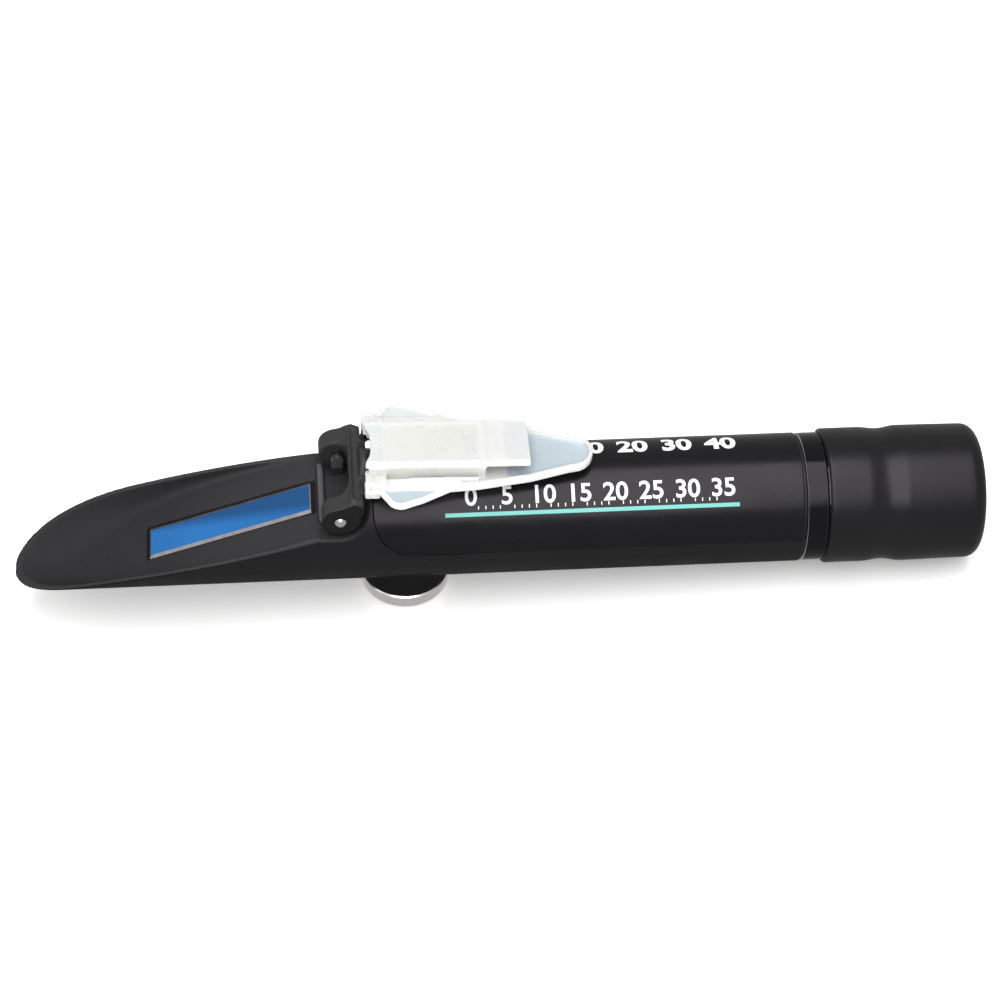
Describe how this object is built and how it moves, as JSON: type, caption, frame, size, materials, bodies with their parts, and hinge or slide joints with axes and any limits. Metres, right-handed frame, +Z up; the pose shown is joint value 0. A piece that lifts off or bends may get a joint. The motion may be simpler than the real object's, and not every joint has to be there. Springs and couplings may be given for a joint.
{
  "type": "refractometer",
  "caption": "Hand-held optical refractometer with a scooped prism nose, a hinged translucent daylight plate, a calibration knob below and a turning rubber eyepiece.",
  "frame": {"origin": "on the optical axis at the middle of the plain barrel, between the calibration knob's boss and the glossy collar", "axes": "+X along the optical axis towards the eyepiece, +Z up out of the prism face, +Y to the left when looking from the nose towards the eyepiece with the prism up"},
  "size_m": [0.2027, 0.0292, 0.0421],
  "materials": {
    "housing_plastic": "satin black moulded shell",
    "cover_plastic": "smooth satin black",
    "stripe_print": "teal line",
    "prism_glass": "polished optical glass, blue reflection",
    "seal_rubber": "matte",
    "bed_pad": "matte",
    "pin_steel": "polished ends",
    "inner_black": "matte black",
    "guide_steel": "ground",
    "reticle_clear": "clear, engraved scale not modelled in metal",
    "collar_black": "glossy black with bright chamfers",
    "retainer_metal": "machined",
    "bracket_plastic": "satin",
    "plate_milky": "milky translucent",
    "knob_steel": "turned",
    "screw_brass": "machined",
    "clip_steel": "stamped",
    "carrier_brass": "machined",
    "bimetal": "rolled two-metal strip",
    "lens_glass": "polished",
    "sleeve_plastic": "matte black",
    "eyecup_rubber": "soft matte rubber"
  },
  "bodies": {
    "housing": {"housing": "housing_plastic", "label_cover": "cover_plastic", "accent_stripe": "stripe_print", "prism": "prism_glass", "prism_gasket": "seal_rubber", "prism_bed": "bed_pad", "hinge_pins": "pin_steel", "light_stop": "inner_black", "guide_pins": "guide_steel", "reticle_holder": "inner_black", "reticle_glass": "reticle_clear", "reticle_ring": "inner_black", "collar": "collar_black", "collar_o_ring": "seal_rubber", "sleeve_retainer": "retainer_metal"},
    "bracket": {"hinge_bracket": "bracket_plastic", "link_pins": "pin_steel"},
    "plate": {"daylight_plate": "plate_milky"},
    "knob": {"calibration_knob": "knob_steel", "calibration_screw": "screw_brass", "knob_o_ring": "seal_rubber", "screw_clip": "clip_steel"},
    "carrier": {"calibration_carrier": "carrier_brass", "bimetal_strip": "bimetal", "strip_screws": "guide_steel", "objective_cell": "inner_black", "objective_lens": "lens_glass", "objective_ring": "inner_black"},
    "focus_sleeve": {"focus_ring": "sleeve_plastic", "rubber_eyecup": "eyecup_rubber"},
    "ocular": {"ocular_cell": "inner_black", "field_lens": "lens_glass", "lens_spacer": "inner_black", "eye_lens": "lens_glass", "ocular_ring": "inner_black", "drive_pin": "guide_steel"}
  },
  "joints": [
    {"name": "bracket_hinge", "type": "hinge", "parent": "housing", "child": "bracket", "pos_m": [-0.06045, 0, 0.0103], "axis": [0, -1, 0], "range_deg": [0, 135.5]},
    {"name": "plate_link", "type": "hinge", "parent": "bracket", "child": "plate", "pos_m": [-0.0541, 0, 0.0165], "axis": [0, -1, 0], "range_deg": [0, 66.7]},
    {"name": "knob_turn", "type": "hinge", "parent": "housing", "child": "knob", "pos_m": [-0.0466, 0, -0.0187], "axis": [0, 0, 1], "range_deg": [-180, 180]},
    {"name": "carrier_lift", "type": "slide", "parent": "housing", "child": "carrier", "axis": [0, 0, 1], "range_m": [-0.00026, 0.00026]},
    {"name": "focus_turn", "type": "hinge", "parent": "housing", "child": "focus_sleeve", "pos_m": [0.058, 0, 0], "axis": [1, 0, 0], "range_deg": [-60, 60]},
    {"name": "lens_slide", "type": "slide", "parent": "housing", "child": "ocular", "axis": [1, 0, 0], "range_m": [-0.00052, 0.00052]}
  ],
  "couplings": [
    {"joint": "carrier_lift", "follows": "knob_turn", "m_per_rad": 0.000079577},
    {"joint": "lens_slide", "follows": "focus_turn", "m_per_rad": 0.00047746}
  ]
}
